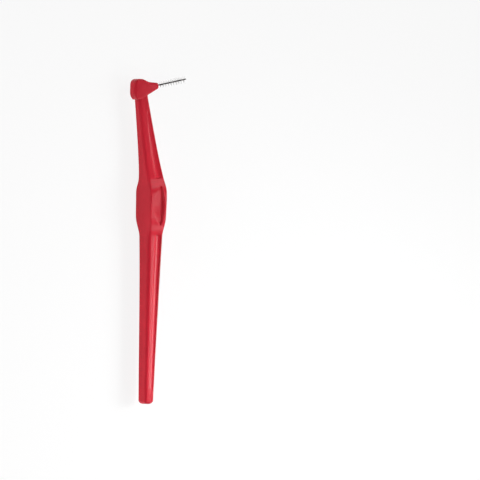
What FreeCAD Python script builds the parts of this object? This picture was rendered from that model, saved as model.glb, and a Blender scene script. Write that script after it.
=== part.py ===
import FreeCAD, Part
import math
import os

V = FreeCAD.Vector

# Interdental brush with an angled head, in millimetres.
# It is built in the handle's own frame: x runs along the lower handle towards the head, y points to the
# smooth back and away from the wire, and z = 0 is the parting plane. At the end it is laid on its side.

# Lengths along the handle's centreline, from the lower end up
lower_length = 54.0
swell_length = 7.0
pad_length = 8.2
shoulder_length = 4.1
neck_length = 25.2
neck_sink = 2.2

# Widths from front to back, and thicknesses from side to side
end_width = 3.2
end_thickness = 4.7
foot_width = 5.35
foot_thickness = 6.15
pad_width = 6.1
pad_thickness = 9.2
pad_crown = 0.35
shoulder_width = 5.7
shoulder_thickness = 6.3
neck_foot_width = 5.4
neck_foot_thickness = 5.1
neck_waist_width = 4.7
neck_waist_thickness = 4.05
neck_top_width = 3.65
neck_top_thickness = 3.3
neck_foot_share = 0.18
neck_waist_share = 0.52
grip_section_count = 16
neck_section_count = 9

# Corner rounding of the cross-section
back_round = 1.1
pad_back_round = 0.8
neck_back_round = 0.9
front_round = 0.45
pad_front_round = 0.8
end_round = 1.3
end_angles = (0, 20, 40, 60, 75, 87)

# The neck leans back from the grip on a wide arc
bend_angle = 10.3
bend_length = 10.0
bend_lead = 4.0

# Head, measured from the top of the neck
head_rise = 6.85
head_back = 3.7
head_back_thickness = 3.6
head_throat_thickness = 3.35
head_round = 0.7
crown_round = 2.1
crown_front = 1.0
chin_rise = 0.5
chin_overhang = 0.4
chin_round = 3.6
throat_rise = 1.3
throat_inset = 0.1
nose_lift = 4.85
nose_reach = 5.75
nose_height = 1.9
nose_thickness = 2.0
slope_foot_share = 0.48
slope_rise_share = 0.14

# Hollow flutes and a pointed oval cut into both sides
flute_radius = 2.6
flute_run = 1.2
lower_flute_start = 5.0
lower_flute_gap = 1.2
lower_flute_start_shift = -0.38
lower_flute_end_shift = -0.72
lower_flute_start_depth = 0.09
lower_flute_end_depth = 0.34
neck_flute_lead = 0.6
neck_flute_gap = 4.0
neck_flute_start_shift = -0.88
neck_flute_end_shift = -0.75
neck_flute_start_depth = 0.36
neck_flute_end_depth = 0.06
flute_run_shares = (0, 0.35, 0.7)
neck_flute_section_count = 9
leaf_lead = 3.4
leaf_overlap = 1.4
leaf_depth = 0.85
leaf_slope = 0.6
leaf_tip_slope = 1.2
leaf_front_rim = 0.95
leaf_back_rim = 0.8

# Wire folded in two at the tip and twisted, and the threads clamped between its legs
wire_angle = 78.0
wire_diameter = 0.2
wire_sides = 5
wire_reach = 11.4
wire_anchor = 4.6
twist_pitch = 2.0
arcs_per_turn = 4
bore_clearance = 0.01
bore_end_clearance = 0.2
filament_thickness = 0.075
filament_pitch = 0.085
filament_clearance = 0.005
brush_start = 0.7
brush_tip_gap = 0.35
brush_base_diameter = 2.2
brush_tip_diameter = 2.7

cut_overrun = 1.0

pad_start = lower_length + swell_length
pad_end = pad_start + pad_length
shoulder = pad_end + shoulder_length
neck_top = shoulder + neck_length
neck_foot = shoulder + neck_length * neck_foot_share
bend_start = pad_end - bend_lead
bend_end = bend_start + bend_length
bend_turn = math.radians(bend_angle)
bend_radius = bend_length / bend_turn


def heading(station):
    """Angle between the centreline and x at a station: none below the bend, then growing along its arc."""
    along = min(max(station - bend_start, 0), bend_length)
    return along / bend_radius


def place(station, offset, height=0):
    """Point at a station on the centreline, moved back by offset and sideways by height."""
    turn = heading(station)
    straight = min(station, bend_start) + max(station - bend_end, 0) * math.cos(turn)
    x = straight + bend_radius * math.sin(turn)
    y = bend_radius * (1 - math.cos(turn)) + max(station - bend_end, 0) * math.sin(turn)
    return V(x - offset * math.sin(turn), y + offset * math.cos(turn), height)


def blend(start, end, share):
    return start + (end - start) * share


def line(start, end):
    return Part.LineSegment(start, end).toShape()


def arc(start, middle, end):
    return Part.Arc(start, middle, end).toShape()


# Handle: a loft through rounded rectangles

def section(station, width, thickness, back_corner, front_corner):
    """Rectangle square to the centreline, its corners rounded by parabolas set back by their own sizes."""
    side = thickness / 2
    corners = (
        (width / 2, side, back_corner),
        (-width / 2, side, front_corner),
        (-width / 2, -side, front_corner),
        (width / 2, -side, back_corner),
    )
    rounds = []
    for index, (offset, height, setback) in enumerate(corners):
        flat = place(station, offset - math.copysign(setback, offset), height)
        upright = place(station, offset, height - math.copysign(setback, height))
        corner = place(station, offset, height)
        rounds.append([flat, corner, upright] if index % 2 else [upright, corner, flat])
    edges = []
    for index, poles in enumerate(rounds):
        following = rounds[(index + 1) % len(rounds)]
        curve = Part.BezierCurve()
        curve.setPoles(poles)
        edges.append(curve.toShape())
        edges.append(line(poles[-1], following[0]))
    return Part.Wire(edges)


def smooth(stations, values, station):
    """Value at a station on a curve through the given values that never swings past them."""
    rises = []
    for index in range(len(stations) - 1):
        rises.append((values[index + 1] - values[index]) / (stations[index + 1] - stations[index]))
    slopes = [rises[0]]
    for before, after in zip(rises, rises[1:]):
        slopes.append(2 * before * after / (before + after) if before * after > 0 else 0)
    slopes.append(rises[-1])
    index = 0
    while index < len(stations) - 2 and station > stations[index + 1]:
        index += 1
    span = stations[index + 1] - stations[index]
    t = (station - stations[index]) / span
    ease = t * t * (3 - 2 * t)
    lift = t * (1 - t) * ((1 - t) * slopes[index] - t * slopes[index + 1]) * span
    return values[index] + (values[index + 1] - values[index]) * ease + lift


def sizes(station):
    """Width, thickness and corner sizes at a station: a straight taper first, then smooth curves."""
    crowned = pad_thickness + 2 * pad_crown
    neck_waist = shoulder + neck_length * neck_waist_share
    rows = [
        (end_round, end_width, end_thickness, back_round, front_round),
        (lower_length, foot_width, foot_thickness, back_round, front_round),
        (pad_start, pad_width, crowned, pad_back_round, pad_front_round),
        (pad_end, pad_width, crowned, pad_back_round, pad_front_round),
        (shoulder, shoulder_width, shoulder_thickness, neck_back_round, front_round),
        (neck_foot, neck_foot_width, neck_foot_thickness, neck_back_round, front_round),
        (neck_waist, neck_waist_width, neck_waist_thickness, neck_back_round, front_round),
        (neck_top, neck_top_width, neck_top_thickness, neck_back_round, front_round),
    ]
    stations, *columns = zip(*rows)
    if station < lower_length:
        taper = (station - end_round) / (lower_length - end_round)
        return [blend(column[0], column[1], taper) for column in columns]
    return [smooth(stations, column, min(station, neck_top)) for column in columns]


def even_sections(start, end, count):
    stations = [blend(start, end, index / (count - 1)) for index in range(count)]
    return [section(station, *sizes(station)) for station in stations]


def dome_sections():
    """The lowest section drawn in on a quarter circle, down to the tip of the rounded end."""
    wires = []
    for angle in end_angles:
        station = end_round * (1 - math.sin(math.radians(angle)))
        inset = end_round * (1 - math.cos(math.radians(angle)))
        width = end_width - 2 * inset
        thickness = end_thickness - 2 * inset
        corner_share = width / end_width
        corners = (back_round * corner_share, front_round * corner_share)
        wires.append(section(station, width, thickness, *corners))
    return wires


def shaft():
    """Lower handle, grip and neck, with the swollen grip trimmed to two flat pads and the end rounded."""
    dome = Part.makeLoft(dome_sections(), True, True)
    lower = Part.makeLoft(even_sections(end_round, lower_length, 2), True, True)
    grip = Part.makeLoft(even_sections(lower_length, neck_foot, grip_section_count), True, True)
    neck = Part.makeLoft(even_sections(neck_foot, neck_top + neck_sink, neck_section_count), True, True)
    box = grip.BoundBox
    slab = Part.makeBox(
        box.XLength + 2 * cut_overrun,
        box.YLength + 2 * cut_overrun,
        pad_thickness,
        V(box.XMin - cut_overrun, box.YMin - cut_overrun, -pad_thickness / 2),
    )
    return grip.common(slab).fuse([lower, dome, neck])


# Head: a side outline crossed with a wedge that thins towards the nose

neck_point = place(neck_top, 0)
wire_turn = math.radians(wire_angle)
wire_axis = V(math.cos(wire_turn), -math.sin(wire_turn), 0)
wire_across = V(math.sin(wire_turn), math.cos(wire_turn), 0)
nose = neck_point + V(nose_lift, -nose_reach, 0)
nose_upper = nose + wire_across * (nose_height / 2)
nose_lower = nose - wire_across * (nose_height / 2)
crown_x = neck_point.x + head_rise
back_y = neck_point.y + head_back
throat = place(neck_top + throat_rise, throat_inset - neck_top_width / 2)
chin = place(neck_top + chin_rise, chin_overhang + neck_top_width / 2)


def head_outline():
    """Side view of the head: nose end, dipping top, rounded crown, back, chin and underside."""
    crown_start = V(crown_x, neck_point.y + crown_front, 0)
    slope_foot = V(
        blend(nose_upper.x, crown_x, slope_rise_share),
        blend(nose_upper.y, crown_start.y, slope_foot_share),
        0,
    )
    top = Part.BSplineCurve()
    level = V(0, 1, 0)
    top.interpolate([nose_upper, slope_foot, crown_start], InitialTangent=level, FinalTangent=level)
    crown_end = V(crown_x, back_y - crown_round, 0)
    back_top = V(crown_x - crown_round, back_y, 0)
    eased = crown_round * (1 - math.sqrt(1 / 2))
    crown_middle = V(crown_x - eased, back_y - eased, 0)
    overhang = back_y - chin.y
    chin_centre = V(chin.x + math.sqrt(2 * chin_round * overhang - overhang ** 2), back_y - chin_round, 0)
    back_bottom = V(chin_centre.x, back_y, 0)
    towards = (back_bottom - chin_centre) + (chin - chin_centre)
    chin_middle = chin_centre + towards * (chin_round / towards.Length)
    return Part.Wire([
        line(nose_lower, nose_upper),
        top.toShape(),
        line(crown_start, crown_end),
        arc(crown_end, crown_middle, back_top),
        line(back_top, back_bottom),
        arc(back_bottom, chin_middle, chin),
        line(chin, throat),
        line(throat, nose_lower),
    ])


def head():
    """Extruded side outline, thinned by a curved wedge, its rims rounded except where the neck meets it."""
    span = 2 * head_back_thickness
    block = Part.Face(head_outline()).extrude(V(0, 0, span))
    block.translate(V(0, 0, -span / 2))
    low = chin.x - cut_overrun
    back = back_y + cut_overrun
    front = nose_lower.y - cut_overrun
    wedge = Part.Wire([
        arc(V(low, back, head_back_thickness / 2), V(low, throat.y, head_throat_thickness / 2),
            V(low, front, nose_thickness / 2)),
        line(V(low, front, nose_thickness / 2), V(low, front, -nose_thickness / 2)),
        arc(V(low, front, -nose_thickness / 2), V(low, throat.y, -head_throat_thickness / 2),
            V(low, back, -head_back_thickness / 2)),
        line(V(low, back, -head_back_thickness / 2), V(low, back, head_back_thickness / 2)),
    ])
    reach = crown_x - low + cut_overrun
    body = block.common(Part.Face(wedge).extrude(V(reach, 0, 0)))
    foot = (chin + throat) * (1 / 2)
    rims = []
    for edge in body.Edges:
        middle = edge.CenterOfMass
        from_foot = math.hypot(middle.x - foot.x, middle.y - foot.y)
        if abs(middle.z) > nose_thickness / 4 and from_foot > neck_top_width / 4:
            rims.append(edge)
    return body.makeFillet(head_round, rims)


# Cuts: two flutes and a leaf on each side

def flute(start, end, shifts, depths, section_count):
    """Cutting tool for one flute: half discs of one radius that follow the side and run out at both ends."""
    stations = [start + flute_run * share for share in flute_run_shares]
    low = start + flute_run
    high = end - flute_run
    stations += [blend(low, high, index / (section_count - 1)) for index in range(section_count)]
    stations += [end - flute_run * share for share in reversed(flute_run_shares)]
    wires = []
    for station in stations:
        share = (station - start) / (end - start)
        past = max(low - station, station - high, 0) / flute_run
        depth = blend(*depths, share) * (1 - past ** 2)
        width, thickness, back_corner, front_corner = sizes(station)
        centre = thickness / 2 - depth + flute_radius
        shift = blend(*shifts, share)
        front = place(station, shift - flute_radius, centre)
        bottom = place(station, shift, centre - flute_radius)
        back = place(station, shift + flute_radius, centre)
        wires.append(Part.Wire([arc(front, bottom, back), line(back, front)]))
    return Part.makeLoft(wires, True, True)


def leaf():
    """Cutting tool for the pointed oval: two arcs at the floor, spreading to wider ones past the pad."""
    floor = pad_thickness / 2 - leaf_depth
    rise = leaf_depth + cut_overrun
    spread = rise / leaf_depth
    wires = []
    for height, grow in ((floor, -1), (floor + rise, spread - 1)):
        start = pad_start - leaf_lead - leaf_tip_slope * grow
        end = pad_end + leaf_overlap + leaf_tip_slope * grow
        middle = (start + end) / 2
        low_tip = place(start, 0, height)
        high_tip = place(end, 0, height)
        front = place(middle, leaf_front_rim - pad_width / 2 - leaf_slope * grow, height)
        back = place(middle, pad_width / 2 - leaf_back_rim + leaf_slope * grow, height)
        wires.append(Part.Wire([arc(low_tip, front, high_tip), arc(high_tip, back, low_tip)]))
    return Part.makeLoft(wires, True, True)


def handle():
    """The whole moulding: shaft and head in one, cut on both sides and bored for the wire."""
    lower_flute = flute(
        lower_flute_start,
        lower_length + lower_flute_gap,
        (lower_flute_start_shift, lower_flute_end_shift),
        (lower_flute_start_depth, lower_flute_end_depth),
        2,
    )
    neck_flute = flute(
        shoulder - neck_flute_lead,
        neck_top - neck_flute_gap,
        (neck_flute_start_shift, neck_flute_end_shift),
        (neck_flute_start_depth, neck_flute_end_depth),
        neck_flute_section_count,
    )
    tools = []
    for tool in (lower_flute, leaf(), neck_flute):
        tools += [tool, tool.mirror(V(0, 0, 0), V(0, 0, 1))]
    bore_radius = strand_offset + wire_diameter / 2 + bore_clearance
    bore_depth = wire_anchor + bore_end_clearance
    bore_start = nose - wire_axis * bore_depth
    tools.append(Part.makeCylinder(bore_radius, bore_depth + cut_overrun, bore_start, wire_axis))
    return shaft().fuse(head()).removeSplitter().cut(tools)


# Twisted wire: two legs wound round one axis and joined by a fold at the tip

strand_offset = (wire_diameter + filament_thickness) / 2 + filament_clearance
twist_lean = math.atan(2 * math.pi * strand_offset / twist_pitch)
side_axis = V(0, 0, 1)


def twist(along):
    """Outward and turning directions of the first leg at a distance from the nose along the wire."""
    angle = 2 * math.pi * along / twist_pitch
    outward = wire_across * math.cos(angle) + side_axis * math.sin(angle)
    turning = side_axis * math.cos(angle) - wire_across * math.sin(angle)
    return outward, turning


def leg_point(along, hand):
    """Point and direction towards the tip on one leg; the second leg lies across the axis from the first."""
    outward, turning = twist(along)
    point = nose + wire_axis * along + outward * (hand * strand_offset)
    direction = wire_axis * math.cos(twist_lean) + turning * (hand * math.sin(twist_lean))
    return point, direction


def biarc(start, start_way, end, end_way):
    """Two arcs of equal handle length that meet smoothly and leave and arrive along the given directions."""
    chord = end - start
    ways = start_way + end_way
    square = 2 * (1 - start_way.dot(end_way))
    across = chord.dot(ways)
    handle_share = (math.sqrt(across ** 2 + square * chord.dot(chord)) - across) / square
    meeting = (start + end + (start_way - end_way) * handle_share) * (1 / 2)
    first = Part.Arc(start, arc_middle(start, start_way, meeting), meeting)
    second = Part.Arc(meeting, arc_middle(end, -end_way, meeting), end)
    return [first.toShape(), second.toShape()]


def arc_middle(start, way, end):
    """Middle point of the arc that leaves start along a direction and passes through end."""
    chord = end - start
    half = math.acos(max(-1, min(1, way.dot(chord) / chord.Length))) / 2
    side = way * chord.Length - chord * (way.dot(chord) / chord.Length)
    rise = chord.Length / 2 * math.tan(half)
    return (start + end) * (1 / 2) + side * (rise / side.Length)


def wire_path():
    """One unbroken line: up the first leg, over the fold at the tip and down the second leg."""
    steps = math.ceil((wire_anchor + wire_reach) / twist_pitch * arcs_per_turn / 2)
    stretch = (wire_anchor + wire_reach - strand_offset) / steps
    stations = [stretch * step - wire_anchor for step in range(steps + 1)]
    up = [leg_point(along, 1) for along in stations]
    down = [leg_point(along, -1) for along in reversed(stations)]
    stops = up + [(point, -way) for point, way in down]
    edges = []
    for (start, start_way), (end, end_way) in zip(stops, stops[1:]):
        edges += biarc(start, start_way, end, end_way)
    return Part.Wire(edges)


def twisted_wire():
    path = wire_path()
    start, way = leg_point(-wire_anchor, 1)
    outward, turning = twist(-wire_anchor)
    across = outward.cross(way)
    corners = []
    for side in range(wire_sides + 1):
        angle = 2 * math.pi * side / wire_sides
        corners.append(start + (outward * math.cos(angle) + across * math.sin(angle)) * (wire_diameter / 2))
    profile = Part.makePolygon(corners)
    wire = path.makePipeShell([profile], True, False)
    print("wire volume over section times length", wire.Volume / (Part.Face(profile).Area * path.Length))
    return wire


# Filaments: straight threads side by side along the wire, each clamped at its middle

def filaments():
    brush_end = wire_reach - brush_tip_gap
    count = int((brush_end - brush_start) / filament_pitch)
    threads = []
    for index in range(count):
        along = brush_start + filament_pitch * index
        length = blend(brush_base_diameter, brush_tip_diameter, index / count)
        outward, turning = twist(along)
        thread = Part.makeBox(length, filament_thickness, filament_thickness,
                              V(-length / 2, -filament_thickness / 2, -filament_thickness / 2))
        middle = nose + wire_axis * along
        turn = FreeCAD.Rotation(turning, outward, V(0, 0, 0), "XYZ")
        thread.Placement = FreeCAD.Placement(middle, turn)
        threads.append(thread)
    return Part.makeCompound(threads)


nodes = {
    "handle": handle(),
    "twisted_wire": twisted_wire(),
    "filaments": filaments(),
}

# Lay the brush on its side, centred over the middle of its box
box = Part.makeCompound(list(nodes.values())).optimalBoundingBox(False)
shift = V(-(box.XMin + box.XMax) / 2, -(box.YMin + box.YMax) / 2, -box.ZMin)
os.makedirs("parts", exist_ok=True)
for name, shape in nodes.items():
    shape.translate(shift)
    shape.exportStep("parts/" + name + ".step")
    size = shape.optimalBoundingBox(False)
    print(name, "solids", len(shape.Solids), "valid", shape.isValid(), "volume", round(shape.Volume, 3),
          "x", round(size.XMin, 3), round(size.XMax, 3), "y", round(size.YMin, 3), round(size.YMax, 3),
          "z", round(size.ZMin, 3), round(size.ZMax, 3))
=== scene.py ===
import bpy
import math
import numpy as np
from mathutils import Matrix, Vector


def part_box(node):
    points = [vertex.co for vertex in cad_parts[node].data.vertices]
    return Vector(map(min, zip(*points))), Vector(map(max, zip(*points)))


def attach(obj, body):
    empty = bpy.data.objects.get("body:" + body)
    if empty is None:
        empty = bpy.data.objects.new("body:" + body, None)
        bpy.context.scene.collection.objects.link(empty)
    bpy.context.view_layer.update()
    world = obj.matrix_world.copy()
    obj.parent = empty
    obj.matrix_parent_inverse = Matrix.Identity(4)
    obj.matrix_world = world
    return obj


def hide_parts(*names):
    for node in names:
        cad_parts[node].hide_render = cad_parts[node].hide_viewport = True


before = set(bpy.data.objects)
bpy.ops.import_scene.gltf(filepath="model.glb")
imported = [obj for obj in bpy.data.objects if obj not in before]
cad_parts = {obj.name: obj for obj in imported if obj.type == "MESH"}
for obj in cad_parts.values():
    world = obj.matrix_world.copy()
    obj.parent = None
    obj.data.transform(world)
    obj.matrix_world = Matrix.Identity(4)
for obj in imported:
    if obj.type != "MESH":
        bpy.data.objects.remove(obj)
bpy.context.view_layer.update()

handleLow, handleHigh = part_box("handle")
mm = 0.001  # sizes below are in millimetres, meshes in metres
print("frame loaded:", sorted(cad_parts))

# sizes of the moulding along its centreline, from the lower end up; angles are in degrees
handleSize = {
    "lower": 54.0, "swell": 7.0, "pad": 7.0, "shoulder": 5.3, "neck": 25.2, "sink": 2.2,
    "neckFoot": 0.18, "neckWaist": 0.52,  # shares of the neck's length
    "endRound": 1.3, "bendAngle": 10.3, "bendLength": 10.0, "bendLead": 2.8,
    "padThickness": 9.6, "padBlend": 1.2, "tipGap": 0.004, "tipSpread": 0.35, "sharpAngle": 40,
}
padStart = handleSize["lower"] + handleSize["swell"]
padEnd = padStart + handleSize["pad"]
shoulder = padEnd + handleSize["shoulder"]
neckTop = shoulder + handleSize["neck"]
neckFoot = shoulder + handleSize["neckFoot"] * handleSize["neck"]
neckWaist = shoulder + handleSize["neckWaist"] * handleSize["neck"]
bendStart = padEnd - handleSize["bendLead"]
bendRadius = handleSize["bendLength"] / math.radians(handleSize["bendAngle"])

# width front to back, thickness side to side, and corner rounds at the stations that drive the handle
handleRows = {
    "station": (handleSize["endRound"], handleSize["lower"], padStart, padEnd, shoulder, neckFoot, neckWaist,
                neckTop),
    "width": (3.2, 5.35, 6.1, 6.35, 6.05, 5.6, 4.8, 3.65),
    "thickness": (4.7, 6.4, 9.9, 9.9, 6.3, 5.1, 4.05, 3.3),
    "backRound": (0.8, 0.98, 0.32, 0.4, 0.9, 0.9, 0.9, 0.9),
    "frontRound": (0.45, 0.45, 0.4, 0.4, 0.45, 0.45, 0.45, 0.45),
}

# how finely it is drawn: rings along the shaft, rings just inside and outside the ends of each hollow, points
# on the corners and across the hollows, and shares at which the face, the rim and the lip have their points
shaftSteps = {
    "lower": 60, "upper": 130, "dome": 14, "domeAngle": 87, "corner": 7, "across": 27,
    "inside": (0, 0.004, 0.015, 0.04, 0.08, 0.13, 0.2, 0.28, 0.38, 0.5, 0.65, 0.85, 1.1),
    "outside": (0.05, 0.2),
    "face": (0.0, 0.5, 0.94), "rim": (0.08, 0.5, 0.92), "lip": (1.0, 0.5),
}

# hollows on both sides: start and end stations of each, and the offsets there; the flutes have a depth at
# each end, and the leaf has the bulges of its front and back edges, its depth, the runs of its front and back
# walls and the share of the depth that its floor loses at the tips
recesses = {
    "lower": {"span": (5.0, 55.2), "shift": (-0.62, -1.1), "depth": (0.1, 0.44)},
    "leaf": {"span": (57.6, 70.6), "shift": (-1.3, -1.3), "bulge": (-0.95, 3.4), "depth": 0.85,
             "slope": (0.6, 0.2), "fade": 0.55},
    "neck": {"span": (72.7, 94.5), "shift": (-1.1, -0.95), "depth": (0.46, 0.06)},
}
cutter = {"radius": 2.6, "run": 0.7, "lip": 0.12, "lipRound": 0.04, "floorRound": 0.12}

# head, measured from the top of the neck; the wire stands at wireAngle to the lower handle
headSize = {
    "rise": 6.85, "back": 3.7, "backHalf": 1.8, "throatHalf": 1.665, "noseHalf": 1.0,
    "rim": 0.6, "backRim": 0.95, "neckRim": 0.1, "noseRim": 0.22, "rimLimit": 0.8, "flatShare": 0.2,
    "crownRound": 2.1, "crownFront": 1.0, "chinRise": 0.5, "chinOverhang": 0.4, "chinRound": 3.6,
    "throatRise": 1.3, "throatInset": 0.1, "noseLift": 4.85, "noseReach": 5.75, "noseHeight": 1.9,
    "slopeFoot": 0.48, "slopeRise": 0.14, "reach": 1.0, "wireAngle": 78.0,
    "stations": 120, "backStations": (1e-4, 0.2, 20), "noseStations": (1e-3, 0.1, 12),
}
wireAngle = math.radians(headSize["wireAngle"])


# monotone cubic: each slope is the harmonic mean of the rises beside it, or level where they turn
def smoothThrough(at, values, x, levelEnds=False):
    at, values = np.asarray(at, float), np.asarray(values, float)
    rise = np.diff(values) / np.diff(at)
    product, total = rise[:-1] * rise[1:], rise[:-1] + rise[1:]
    inner = np.where(product > 0, 2 * product / np.where(total == 0, 1, total), 0)
    ends = (0, 0) if levelEnds else (rise[0], rise[-1])
    slope = np.concatenate([[ends[0]], inner, [ends[1]]])
    x = np.clip(x, at[0], at[-1])
    i = np.clip(np.searchsorted(at, x, side="right") - 1, 0, len(at) - 2)
    span = at[i + 1] - at[i]
    t = (x - at[i]) / span
    ease = t * t * (3 - 2 * t)
    lift = t * (1 - t) * ((1 - t) * slope[i] - t * slope[i + 1]) * span
    return values[i] + (values[i + 1] - values[i]) * ease + lift


# straight line, an arc of bendAngle, then a straight line that leans to the back; x, y and the angle there
def centreline(station):
    turn = np.clip(station - bendStart, 0, handleSize["bendLength"]) / bendRadius
    beyond = np.maximum(station - bendStart - handleSize["bendLength"], 0)
    x = np.minimum(station, bendStart) + bendRadius * np.sin(turn) + beyond * np.cos(turn)
    y = bendRadius * (1 - np.cos(turn)) + beyond * np.sin(turn)
    return x, y, turn


def place(station, offset):
    x, y, turn = centreline(np.asarray(station, float))
    return np.array([x - offset * np.sin(turn), y + offset * np.cos(turn)])


neckPoint = place(neckTop, 0)
backY = neckPoint[1] + headSize["back"]
rowShift = np.array([handleLow.x / mm, handleHigh.y / mm - backY, (handleLow.z + handleHigh.z) / 2 / mm])


# straight blend of a flute's end depths, run out on a parabola at both ends; below zero past them
def fluteDepth(flute, station):
    start, end = flute["span"]
    past = np.maximum(np.maximum(start - station, station - end) + cutter["run"], 0) / cutter["run"]
    return np.interp(station, flute["span"], flute["depth"]) * (1 - past ** 2)


# a leaf edge is an arc through both tips: the centre and the radius of its circle
def leafCircle(leaf, bulge):
    start, end = leaf["span"]
    chord, middle = (end - start) / 2, (start + end) / 2
    radius = (chord ** 2 + bulge ** 2) / (2 * abs(bulge))
    return middle, leaf["shift"][0] + bulge - np.sign(bulge) * radius, radius


# offset of that arc at a station: the circle's centre, plus or minus the root of radius squared less distance
# squared
def leafEdge(leaf, bulge, station):
    x, y, radius = leafCircle(leaf, bulge)
    return y + np.sign(bulge) * np.sqrt(np.maximum(radius ** 2 - (station - x) ** 2, 0))


# how deep the side is hollowed at a station and an offset: under a flute the cutter's circle, under the leaf
# a ramp from its outline down to its floor, which rises by the square of the distance from its middle; edges
# are rounded by (r + sqrt(r * r + round * round)) / 2
def hollow(station, offset):
    rounded = lambda r, size: (r + np.sqrt(r ** 2 + size ** 2)) / 2
    deepest = np.zeros(np.broadcast(station, offset).shape)
    for recess in recesses.values():
        if "bulge" in recess:
            raw = np.inf
            for bulge, slope in zip(recess["bulge"], recess["slope"]):
                x, y, radius = leafCircle(recess, bulge)
                raw = np.minimum(raw, (radius - np.hypot(station - x, offset - y)) * recess["depth"] / slope)
            start, end = recess["span"]
            fromMiddle = np.minimum(np.abs(2 * station - start - end) / (end - start), 1)
            floor = recess["depth"] * (1 - recess["fade"] * fromMiddle ** 2)
            raw = floor - rounded(floor - raw, cutter["floorRound"])
        else:
            across = offset - np.interp(station, recess["span"], recess["shift"])
            arc = np.sqrt(np.maximum(cutter["radius"] ** 2 - across ** 2, 0))
            raw = fluteDepth(recess, station) - cutter["radius"] + arc
        deepest = np.maximum(deepest, rounded(raw, cutter["lipRound"]))
    return deepest


# closed ring of a section: back face, corner arc, rim, lip and across to the front lip, rim, corner and face,
# then the far side as its mirror image; every size is an array over the stations
def sectionRings(front, back, half, frontRound, backRound, slotFront, slotBack, station=None):
    column = lambda a: np.asarray(a, float)[:, None]
    front, back, half = column(front), column(back), column(half)
    slotFront, slotBack = column(slotFront), column(slotBack)
    quarter = np.linspace(0, math.pi / 2, shaftSteps["corner"])[None, :]
    faceShares, rimShares, lipShares = [np.array([shaftSteps[key]]) for key in ("face", "rim", "lip")]
    acrossShares = (1 + np.cos(np.linspace(0, math.pi, shaftSteps["across"])))[None, :] / 2

    def side(edge, corner, slot, sign):
        corner = column(corner)
        start = edge - sign * corner
        lip = np.minimum(cutter["lip"], sign * (start - slot) / 2)
        offset = np.concatenate([edge + 0 * faceShares, start + sign * corner * np.cos(quarter)], axis=1)
        height = np.concatenate([(half - corner) * faceShares, half - corner * (1 - np.sin(quarter))], axis=1)
        rim = start + (slot + sign * lip - start) * rimShares
        level = np.concatenate([rim, slot + sign * lip * lipShares], axis=1)
        return offset, height, level

    backOffset, backHeight, backLevel = side(back, backRound, slotBack, 1)
    frontOffset, frontHeight, frontLevel = side(front, frontRound, slotFront, -1)
    across = slotFront + (slotBack - slotFront) * acrossShares
    level = np.concatenate([backLevel, across, frontLevel[:, ::-1]], axis=1)
    levelHeight = half - (0 * level if station is None else hollow(column(station), level))
    near = np.stack([np.concatenate([backOffset, level, frontOffset[:, ::-1]], axis=1),
                     np.concatenate([backHeight, levelHeight, frontHeight[:, ::-1]], axis=1)], axis=-1)
    far = near[:, -2:0:-1] * np.array([1, -1])
    return np.concatenate([near, far], axis=1)


# rows of points joined by quads, both ends closed by a flat face
def tubeMesh(name, grid):
    count, around = grid.shape[:2]
    index = np.arange(count * around).reshape(count, around)
    following = np.roll(index, -1, axis=1)
    quads = np.stack([index[:-1], following[:-1], following[1:], index[1:]], axis=-1).reshape(-1, 4)
    faces = quads.tolist() + [index[0][::-1].tolist(), index[-1].tolist()]
    mesh = bpy.data.meshes.new(name)
    mesh.from_pydata((grid.reshape(-1, 3) * mm).tolist(), [], faces)
    mesh.shade_smooth()
    return mesh


def newPiece(name, mesh):
    piece = bpy.data.objects.new(name, mesh)
    bpy.context.scene.collection.objects.link(piece)
    return piece


# front and back edges of the hollow at every station; between hollows they lie on the side a little apart
def recessEdges(station):
    tip = handleSize["tipGap"]
    front, back = np.full_like(station, np.nan), np.full_like(station, np.nan)
    ends = []
    for recess in recesses.values():
        start, end = recess["span"]
        inside = (station >= start) & (station <= end)
        s = station[inside]
        if "bulge" in recess:
            low, high = [leafEdge(recess, bulge, s) for bulge in recess["bulge"]]
        else:
            depth = np.maximum(fluteDepth(recess, s), 0)
            reach = np.sqrt(2 * cutter["radius"] * depth - depth ** 2)
            centre = np.interp(s, recess["span"], recess["shift"])
            low, high = centre - reach, centre + reach
        centre, halfWidth = (low + high) / 2, np.maximum((high - low) / 2, tip)
        front[inside], back[inside] = centre - halfWidth, centre + halfWidth
        ends += zip(recess["span"], recess["shift"])
    outside = np.isnan(front)
    at, offset = np.array(ends).T
    nearest = np.abs(station[outside][:, None] - at[None, :]).min(axis=1)
    spread = tip + np.minimum(nearest, handleSize["tipSpread"])
    centre = np.interp(station[outside], at, offset)
    front[outside], back[outside] = centre - spread, centre + spread
    return front, back


def handleStations():
    inside, outside = np.array(shaftSteps["inside"]), np.array(shaftSteps["outside"])
    stations = [np.linspace(handleSize["endRound"], handleSize["lower"], shaftSteps["lower"]),
                np.linspace(handleSize["lower"], neckTop + handleSize["sink"], shaftSteps["upper"])]
    for recess in recesses.values():
        start, end = recess["span"]
        stations += [start + inside, end - inside, start - outside, end + outside]
    return np.unique(np.round(np.concatenate(stations), 4))


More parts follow.
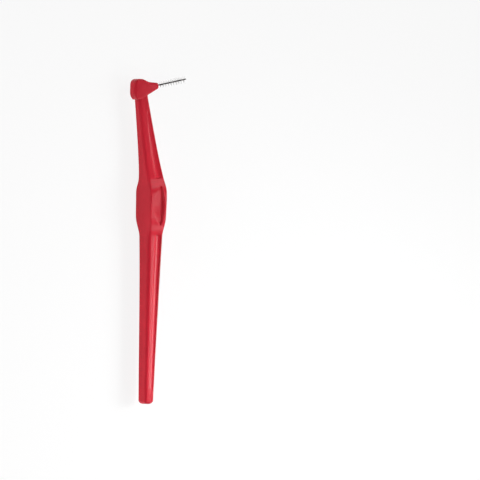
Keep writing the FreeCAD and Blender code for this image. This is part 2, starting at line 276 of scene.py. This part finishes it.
# the shaft: section rings carried along the centreline, drawn in on a quarter circle at the lower end; the
# thickness is the lesser of its row and of padThickness, with over as their difference, blended by
# (over - sqrt(over * over + blend * blend)) / 2
def shaftGrid():
    station = handleStations()
    row = {key: smoothThrough(handleRows["station"], values, station)
           for key, values in handleRows.items() if key != "station"}
    most, blend = handleSize["padThickness"], handleSize["padBlend"]
    over = row["thickness"] - most
    row["thickness"] = most + (over - np.sqrt(over ** 2 + blend ** 2)) / 2
    slotFront, slotBack = recessEdges(station)
    rings = sectionRings(-row["width"] / 2, row["width"] / 2, row["thickness"] / 2, row["frontRound"],
                         row["backRound"], slotFront, slotBack, station)
    turn = np.linspace(math.radians(shaftSteps["domeAngle"]), 0, shaftSteps["dome"])[:-1]
    size = handleSize["endRound"]
    inset = size * (1 - np.cos(turn))
    endStation = size * (1 - np.sin(turn))
    width, thick = row["width"][0] - 2 * inset, row["thickness"][0] - 2 * inset
    share = width / row["width"][0]
    middle = (slotFront[0] + slotBack[0]) / 2 * share
    gap = (slotBack[0] - slotFront[0]) / 2 * share
    dome = sectionRings(-width / 2, width / 2, thick / 2, row["frontRound"][0] * share,
                        row["backRound"][0] * share, middle - gap, middle + gap)
    rings = np.concatenate([dome, rings])
    station = np.concatenate([endStation, station])
    x, y, lean = [a[:, None] for a in centreline(station)]
    offset, height = rings[..., 0], rings[..., 1]
    return np.stack([x - offset * np.sin(lean), y + offset * np.cos(lean), height], axis=-1)


nose = neckPoint + np.array([headSize["noseLift"], -headSize["noseReach"]])
wireAxis = np.array([math.cos(wireAngle), -math.sin(wireAngle)])
wireAcross = np.array([math.sin(wireAngle), math.cos(wireAngle)])


# the head: rounded rectangles between its top curve and its underside, from the nose to the flat back; crown,
# chin and rims are quarter circles, and its width is a parabola through nose, throat and back
def headGrid():
    size = headSize
    noseTop = nose + wireAcross * size["noseHeight"] / 2
    noseLow = nose - wireAcross * size["noseHeight"] / 2
    crownX = neckPoint[0] + size["rise"]
    crownStart = neckPoint[1] + size["crownFront"]
    neckHalf = handleRows["width"][-1] / 2
    throat = place(neckTop + size["throatRise"], size["throatInset"] - neckHalf)
    chin = place(neckTop + size["chinRise"], size["chinOverhang"] + neckHalf)
    drop = backY - chin[1]
    chinX = chin[0] + math.sqrt(2 * size["chinRound"] * drop - drop ** 2)
    even = np.sin(np.linspace(0, math.pi / 2, size["stations"]))
    nearBack, nearNose = 1 - np.geomspace(*size["backStations"]), np.geomspace(*size["noseStations"])
    t = np.unique(np.concatenate([even, nearBack, nearNose]))
    topY = noseTop[1] + (backY - noseTop[1]) * t
    lowY = noseLow[1] + (backY - noseLow[1]) * t
    slopeY = noseTop[1] + (crownStart - noseTop[1]) * size["slopeFoot"]
    slopeX = noseTop[0] + (crownX - noseTop[0]) * size["slopeRise"]
    topX = smoothThrough([noseTop[1], slopeY, crownStart], [noseTop[0], slopeX, crownX], topY, True)
    pastCrown = np.clip(topY - (backY - size["crownRound"]), 0, size["crownRound"])
    topX = topX - size["crownRound"] + np.sqrt(size["crownRound"] ** 2 - pastCrown ** 2)
    lowX = np.interp(lowY, [noseLow[1], throat[1], chin[1]], [noseLow[0], throat[0], chin[0]])
    pastChin = np.clip(lowY - (backY - size["chinRound"]), 0, size["chinRound"])
    chinArc = chinX - np.sqrt(size["chinRound"] ** 2 - pastChin ** 2)
    lowX = np.where(lowY > chin[1], chinArc, lowX)
    sideY = np.array([noseLow[1] - size["reach"], throat[1], backY + size["reach"]])
    sideFit = np.polyfit(sideY, [size["noseHalf"], size["throatHalf"], size["backHalf"]], 2)
    half = np.polyval(sideFit, (topY + lowY) / 2)
    rim, backRim, noseRim = size["rim"], size["backRim"], size["noseRim"]
    backPast = np.clip(backRim - (backY - topY), 0, backRim)
    nosePast = np.clip(noseRim - (topY - noseTop[1]), 0, noseRim)
    noseInset = noseRim - np.sqrt(noseRim ** 2 - nosePast ** 2)
    half = half - (backRim - np.sqrt(backRim ** 2 - backPast ** 2)) - noseInset
    low, top = np.stack([lowX, lowY], axis=-1), np.stack([topX, topY], axis=-1)
    length = np.linalg.norm(top - low, axis=1)
    way = (top - low) / length[:, None]
    middle = (low + top) / 2
    reach = length / 2 - noseInset
    rimRound = np.minimum(rim, np.minimum(half, reach) * size["rimLimit"])
    onNeck = np.clip(np.minimum(lowY - throat[1], chin[1] - lowY) / rim + 0.5, 0, 1)
    lowRound = np.minimum(rimRound, rim + (size["neckRim"] - rim) * onNeck)  # sharp where the neck joins
    flat = reach * size["flatShare"]
    rings = sectionRings(-reach, reach, half, lowRound, rimRound, -flat, flat)
    flatPoint = middle[:, None, :] + rings[..., :1] * way[:, None, :]
    return np.concatenate([flatPoint, rings[..., 1:]], axis=-1)[::-1]


# both pieces as one closed mesh
def joinTo(piece, other):
    union = piece.modifiers.new("join", "BOOLEAN")
    union.operation, union.solver, union.object = "UNION", "EXACT", other
    bpy.context.view_layer.update()
    made = bpy.data.meshes.new_from_object(piece.evaluated_get(bpy.context.evaluated_depsgraph_get()))
    piece.modifiers.clear()
    piece.data = made
    bpy.data.objects.remove(other)


def makeHandle():
    handle = newPiece("mouldedHandle", tubeMesh("shaft", shaftGrid() + rowShift))
    head = newPiece("headShell", tubeMesh("head", headGrid() + rowShift))
    joinTo(handle, head)
    handle.data.set_sharp_from_angle(angle=math.radians(handleSize["sharpAngle"]))
    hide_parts("handle")
    return handle


handlePiece = makeHandle()
print("handle made:", len(handlePiece.data.polygons), "faces")

# wire folded in two and twisted; reach and anchor are measured from the nose
wireSize = {
    "radius": 0.124, "legOffset": 0.1185, "pitch": 2.0, "anchor": 4.6, "reach": 11.4,
    "perTurn": 28, "around": 10, "foldSteps": 14,
}
axis3 = np.append(wireAxis, 0)
across3 = np.append(wireAcross, 0)
side3 = np.array([0.0, 0.0, 1.0])
nose3 = np.append(nose, 0) + rowShift


# a leg circles the axis once per pitch; the threads lie square to the legs
def twistWays(along):
    angle = 2 * math.pi * np.asarray(along)[..., None] / wireSize["pitch"]
    outward = across3 * np.cos(angle) + side3 * np.sin(angle)
    turning = side3 * np.cos(angle) - across3 * np.sin(angle)
    return outward, turning


# a ring of points square to each step of a path
def ringsAlong(path, radius, around, upright):
    way = np.gradient(path, axis=0)
    way /= np.linalg.norm(way, axis=-1, keepdims=True)
    first = np.cross(way, upright)
    first /= np.linalg.norm(first, axis=-1, keepdims=True)
    second = np.cross(way, first)
    angle = np.linspace(0, 2 * math.pi, around, endpoint=False)[:, None]
    ring = first[..., None, :] * np.cos(angle) + second[..., None, :] * np.sin(angle)
    return path[..., None, :] + radius * ring


# up one leg as a helix, half a circle over the fold, and down the other leg
def wirePath():
    size = wireSize
    last = size["reach"] - size["radius"] - size["legOffset"]
    steps = int((size["anchor"] + last) / size["pitch"] * size["perTurn"])
    along = np.linspace(-size["anchor"], last, steps)
    outward, turning = twistWays(along)
    centre = nose3 + along[:, None] * axis3
    leg = size["legOffset"] * outward
    fold = np.linspace(0, math.pi, size["foldSteps"])[1:-1, None]
    top = centre[-1] + size["legOffset"] * (outward[-1] * np.cos(fold) + axis3 * np.sin(fold))
    path = np.concatenate([centre + leg, top, (centre - leg)[::-1]])
    upright = np.concatenate([turning, np.repeat(turning[-1:], len(top), axis=0), turning[::-1]])
    return path, upright


def makeWire():
    path, upright = wirePath()
    grid = ringsAlong(path, wireSize["radius"], wireSize["around"], upright)
    wire = newPiece("twistedWire", tubeMesh("wire", grid[:, ::-1]))
    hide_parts("twisted_wire")
    return wire


# threads clamped between the wire's legs; spread is in radians, lean and curl are shares of a thread's reach
threadSize = {
    "count": 520, "radius": 0.026, "start": 0.7, "tipGap": 0.35, "baseReach": 1.06, "tipReach": 1.3,
    "shortest": 0.92, "spread": 0.45, "lean": 0.1, "curl": 0.1, "steps": 7, "sides": 4, "seed": 4,
}


# each thread is a thin prism through the axis: straight at its middle, its ends curled by the square of the
# distance from it; the turn of the twist, a random stray from it and a random lean set its direction
def makeThreads():
    size, count = threadSize, threadSize["count"]
    draw = np.random.default_rng(size["seed"])
    share = (np.arange(count) + 0.5) / count
    along = size["start"] + (wireSize["reach"] - size["tipGap"] - size["start"]) * share
    outward, turning = twistWays(along)
    spread = draw.normal(0, size["spread"], (count, 1))
    way = turning * np.cos(spread) + outward * np.sin(spread)
    across = np.cross(axis3, way)
    reach = size["baseReach"] + (size["tipReach"] - size["baseReach"]) * share[:, None, None]
    reach = reach * draw.uniform(size["shortest"], 1.0, (count, 1, 1))
    step = np.linspace(-1, 1, size["steps"])[None, :, None]
    lean = draw.normal(0, size["lean"], (count, 2, 1, 1))
    curl = draw.normal(0, size["curl"], (count, 2, 1, 1))
    leanArm = np.where(step < 0, lean[:, 0], lean[:, 1])
    curlArm = np.where(step < 0, curl[:, 0], curl[:, 1])
    path = (nose3 + along[:, None, None] * axis3 + way[:, None, :] * step * reach
            + axis3 * leanArm * np.abs(step) * reach + across[:, None, :] * curlArm * step ** 2 * reach)
    angle = np.linspace(0, 2 * math.pi, size["sides"], endpoint=False)[:, None]
    ring = across[:, None, None, :] * np.cos(angle) + axis3 * np.sin(angle)
    points = path[:, :, None, :] + size["radius"] * ring
    index = np.arange(points[..., 0].size).reshape(points.shape[:3])
    following = np.roll(index, -1, axis=2)
    quads = np.stack([index[:, :-1], following[:, :-1], following[:, 1:], index[:, 1:]], axis=-1)
    faces = np.concatenate([quads.reshape(-1, 4), index[:, 0, ::-1], index[:, -1]])
    mesh = bpy.data.meshes.new("threads")
    mesh.from_pydata((points.reshape(-1, 3) * mm).tolist(), [], faces.tolist())
    mesh.shade_smooth()
    threads = newPiece("nylonThreads", mesh)
    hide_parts("filaments")
    return threads


wirePiece = makeWire()
threadPiece = makeThreads()
print("brush made:", len(wirePiece.data.polygons), "and", len(threadPiece.data.polygons), "faces")


# one output in a node tree: + - * on it add Math nodes, and node() adds any other kind
class Shade:
    def __init__(self, tree, socket=None):
        self.tree, self.socket = tree, socket

    def node(self, kind, settings=None, sockets=None, out=0):
        made = self.tree.nodes.new("ShaderNode" + kind)
        for key, value in (settings or {}).items():
            if key == "stops":
                for stop, (position, colour) in zip(made.color_ramp.elements, value):
                    stop.position, stop.color = position, colour
            else:
                setattr(made, key, value)
        for key, value in (sockets or {}).items():
            if isinstance(value, Shade):
                self.tree.links.new(value.socket, made.inputs[key])
            else:
                made.inputs[key].default_value = value
        return Shade(self.tree, made.outputs[out] if made.outputs else None)

    def math(self, operation, first, second):
        return self.node("Math", {"operation": operation}, {0: first, 1: second})

    def __add__(self, other):
        return self.math("ADD", self, other)

    def __radd__(self, other):
        return self.math("ADD", other, self)

    def __sub__(self, other):
        return self.math("SUBTRACT", self, other)

    def __rsub__(self, other):
        return self.math("SUBTRACT", other, self)

    def __mul__(self, other):
        return self.math("MULTIPLY", self, other)

    def __rmul__(self, other):
        return self.math("MULTIPLY", other, self)


# the emptied nodes of a material or of the world
def emptied(owner):
    owner.use_nodes = True
    owner.node_tree.nodes.clear()
    return Shade(owner.node_tree)


def newFinish(name):
    material = bpy.data.materials.new(name)
    s = emptied(material)
    return material, s, s.node("TexCoord", out="Object")


# colour between two shades as the texture goes from one level to another
def clouded(s, look, texture):
    return s.node("ValToRGB", {"stops": list(zip(look["levels"], look["shades"]))}, {"Fac": texture})


# roughness that goes up and down with the texture
def uneven(look, texture):
    return look["roughness"] + look["change"] * (texture - 0.5)


def wear(piece, material):
    piece.data.materials.clear()
    piece.data.materials.append(material)
    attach(piece, "root")


# glossy red moulding: faint flow clouds in the colour, uneven polish, a slow ripple from the mould and a fine
# grain
redPlastic = {
    "shades": ((0.54, 0.014, 0.03, 1), (0.6, 0.017, 0.035, 1)), "levels": (0.3, 0.7),
    "roughness": 0.23, "change": 0.06, "gloss": 0.1,
    "flow": {"Scale": 90.0, "Detail": 3.0}, "polish": {"Scale": 420.0, "Detail": 4.0},
    "ripple": {"Scale": 160.0, "Detail": 1.0}, "rippleBump": {"Strength": 0.06, "Distance": 0.00004},
    "grain": {"Scale": 5200.0, "Detail": 2.0}, "grainBump": {"Strength": 0.05, "Distance": 0.000006},
}


def redFinish():
    look = redPlastic
    material, s, spot = newFinish("glossyRedMoulding")
    flow, polish, ripple, grain = [s.node("TexNoise", {}, {"Vector": spot, **look[key]})
                                   for key in ("flow", "polish", "ripple", "grain")]
    slow = s.node("Bump", {}, {"Height": ripple, **look["rippleBump"]})
    fine = s.node("Bump", {}, {"Height": grain, "Normal": slow, **look["grainBump"]})
    shader = s.node("BsdfPrincipled", {}, {
        "Base Color": clouded(s, look, flow), "Roughness": uneven(look, polish), "Normal": fine,
        "Specular IOR Level": look["gloss"]})
    s.node("OutputMaterial", {}, {"Surface": shader})
    return material


# drawn steel: nearly black with a brown cast, in darker and paler streaks
wireSteel = {
    "shades": ((0.012, 0.008, 0.008, 1), (0.024, 0.016, 0.016, 1)), "levels": (0.35, 0.65),
    "roughness": 0.34, "change": 0.16, "metal": 1.0,
    "streak": {"Scale": 2600.0, "Detail": 4.0}, "streakBump": {"Strength": 0.1, "Distance": 0.000004},
}


def steelFinish():
    look = wireSteel
    material, s, spot = newFinish("drawnSteel")
    streak = s.node("TexNoise", {}, {"Vector": spot, **look["streak"]})
    bump = s.node("Bump", {}, {"Height": streak, **look["streakBump"]})
    shader = s.node("BsdfPrincipled", {}, {
        "Base Color": clouded(s, look, streak), "Roughness": uneven(look, streak), "Metallic": look["metal"],
        "Normal": bump})
    s.node("OutputMaterial", {}, {"Surface": shader})
    return material


# clear nylon: milky white threads that let most of the light through
nylon = {
    "shades": ((0.9, 0.9, 0.89, 1), (0.97, 0.97, 0.965, 1)), "levels": (0.3, 0.7),
    "roughness": 0.35, "change": 0.2, "alpha": 0.07, "cloud": {"Scale": 3000.0, "Detail": 2.0},
}


def nylonFinish():
    look = nylon
    material, s, spot = newFinish("milkyNylon")
    cloud = s.node("TexNoise", {}, {"Vector": spot, **look["cloud"]})
    shader = s.node("BsdfPrincipled", {}, {
        "Base Color": clouded(s, look, cloud), "Roughness": uneven(look, cloud), "Alpha": look["alpha"]})
    s.node("OutputMaterial", {}, {"Surface": shader})
    return material


wear(handlePiece, redFinish())
wear(wirePiece, steelFinish())
wear(threadPiece, nylonFinish())
print("materials done")

# plain white table; a soft box close by over the front, two behind the back past the ends, and three far ones
# whose reflections are the pale bands on the shoulder, the neck and the swell; in metres, watts and degrees
studio = {
    "floorSize": 6.0, "floorDrop": 0.00002, "floorColour": (0.86, 0.86, 0.86, 1), "white": (1, 1, 1, 1),
    "floorGlow": 0.87, "whiteStrength": 1.0, "world": 0.2,
    "softBoxes": {
        "side": {"place": (-0.0225, -0.2158, 0.2084), "aim": (-0.1, 0.0, 0.0), "size": (0.105, 0.14),
                 "power": 0.18, "spread": 70},
        "headEnd": {"place": (0.3, 0.55, 0.1), "aim": (0.0, 0.0, 0.0), "size": (0.4, 0.2),
                    "power": 0.85, "spread": 180},
        "lowerEnd": {"place": (-0.3, 0.55, 0.1), "aim": (0.0, 0.0, 0.0), "size": (0.4, 0.2),
                     "power": 1.25, "spread": 180},
        "top": {"place": (0.45, -0.344, 0.4915), "aim": (0.02, 0.0, 0.0), "size": (0.4, 0.2),
                "power": 0.17, "spread": 60},
        "neck": {"place": (0.1, -0.544, 0.2536), "aim": (0.06, 0.0, 0.0), "size": (0.1, 0.16),
                 "power": 0.024, "spread": 40},
        "foot": {"place": (-0.42, -0.37, 0.473), "aim": (0.0, 0.0, 0.0), "size": (0.13, 0.13),
                 "power": 0.055, "spread": 40},
    },
}


# one for rays of the eye, of mirrors and of clear pieces, nought for light that falls on a surface
def looking(s):
    seen = s.node("LightPath", out="Is Camera Ray")
    mirrored = s.node("LightPath", out="Is Glossy Ray")
    through = s.node("LightPath", out="Is Transmission Ray")
    return seen + mirrored + through


# the table takes shadows, and for the eye and for mirrors it glows part of the way to white
def makeFloor():
    edge = studio["floorSize"] / 2
    corner = np.array([[-1, -1, 0], [1, -1, 0], [1, 1, 0], [-1, 1, 0]]) * edge
    mesh = bpy.data.meshes.new("table")
    mesh.from_pydata((corner - [0, 0, studio["floorDrop"]]).tolist(), [], [(0, 1, 2, 3)])
    floor = newPiece("table", mesh)
    material = bpy.data.materials.new("whiteTable")
    s = emptied(material)
    plain = s.node("BsdfDiffuse", {}, {"Color": studio["floorColour"]})
    white = s.node("Emission", {}, {"Color": studio["white"], "Strength": studio["whiteStrength"]})
    mixed = s.node("MixShader", {}, {"Fac": looking(s) * studio["floorGlow"], 1: plain, 2: white})
    s.node("OutputMaterial", {}, {"Surface": mixed})
    mesh.materials.append(material)


def makeLights():
    for name, box in studio["softBoxes"].items():
        light = bpy.data.lights.new(name, "AREA")
        light.shape, light.energy = "RECTANGLE", box["power"]
        light.size, light.size_y = box["size"]
        light.spread = math.radians(box["spread"])
        lamp = bpy.data.objects.new(name, light)
        lamp.location = box["place"]
        way = Vector(box["aim"]) - Vector(box["place"])
        lamp.rotation_euler = way.to_track_quat("-Z", "Y").to_euler()
        bpy.context.scene.collection.objects.link(lamp)


# a dim world for light, and a white one for the eye and for mirrors
def makeWorld():
    world = bpy.data.worlds.new("studio")
    s = emptied(world)
    dim = s.node("Background", {}, {"Color": studio["white"], "Strength": studio["world"]})
    white = s.node("Background", {}, {"Color": studio["white"], "Strength": studio["whiteStrength"]})
    s.node("OutputWorld", {}, {"Surface": s.node("MixShader", {}, {"Fac": looking(s), 1: dim, 2: white})})
    bpy.context.scene.world = world


makeFloor()
makeLights()
makeWorld()
print("studio set")

# camera above, tipped towards the smooth back and turned so that the handle stands up in the picture; the
# pixel is in millimetres
shot = {
    "sideTurn": math.radians(33.0), "lean": math.radians(1.7), "frame": 480, "pixel": 0.323,
    "endPixel": (145.4, 404.0), "distance": 0.6, "clip": (0.01, 10),
}


def makeCamera():
    back = Vector((0, math.sin(shot["sideTurn"]), math.cos(shot["sideTurn"])))
    levelRight = Vector((0, -math.cos(shot["sideTurn"]), math.sin(shot["sideTurn"])))
    along = Vector((1, 0, 0))
    right = levelRight * math.cos(shot["lean"]) + along * math.sin(shot["lean"])
    up = along * math.cos(shot["lean"]) - levelRight * math.sin(shot["lean"])
    lowerEnd = Vector(rowShift) * mm
    fromCentre = [(p - shot["frame"] / 2) * shot["pixel"] * mm for p in shot["endPixel"]]
    aim = lowerEnd - right * fromCentre[0] + up * fromCentre[1]
    data = bpy.data.cameras.new("camera")
    data.type, data.ortho_scale = "ORTHO", shot["frame"] * shot["pixel"] * mm
    data.clip_start, data.clip_end = shot["clip"]
    camera = bpy.data.objects.new("camera", data)
    turn = Matrix((right, up, back)).transposed().to_4x4()
    camera.matrix_world = Matrix.Translation(aim + back * shot["distance"]) @ turn
    bpy.context.scene.collection.objects.link(camera)
    bpy.context.scene.camera = camera


makeCamera()
bpy.context.scene.view_settings.view_transform = "Standard"
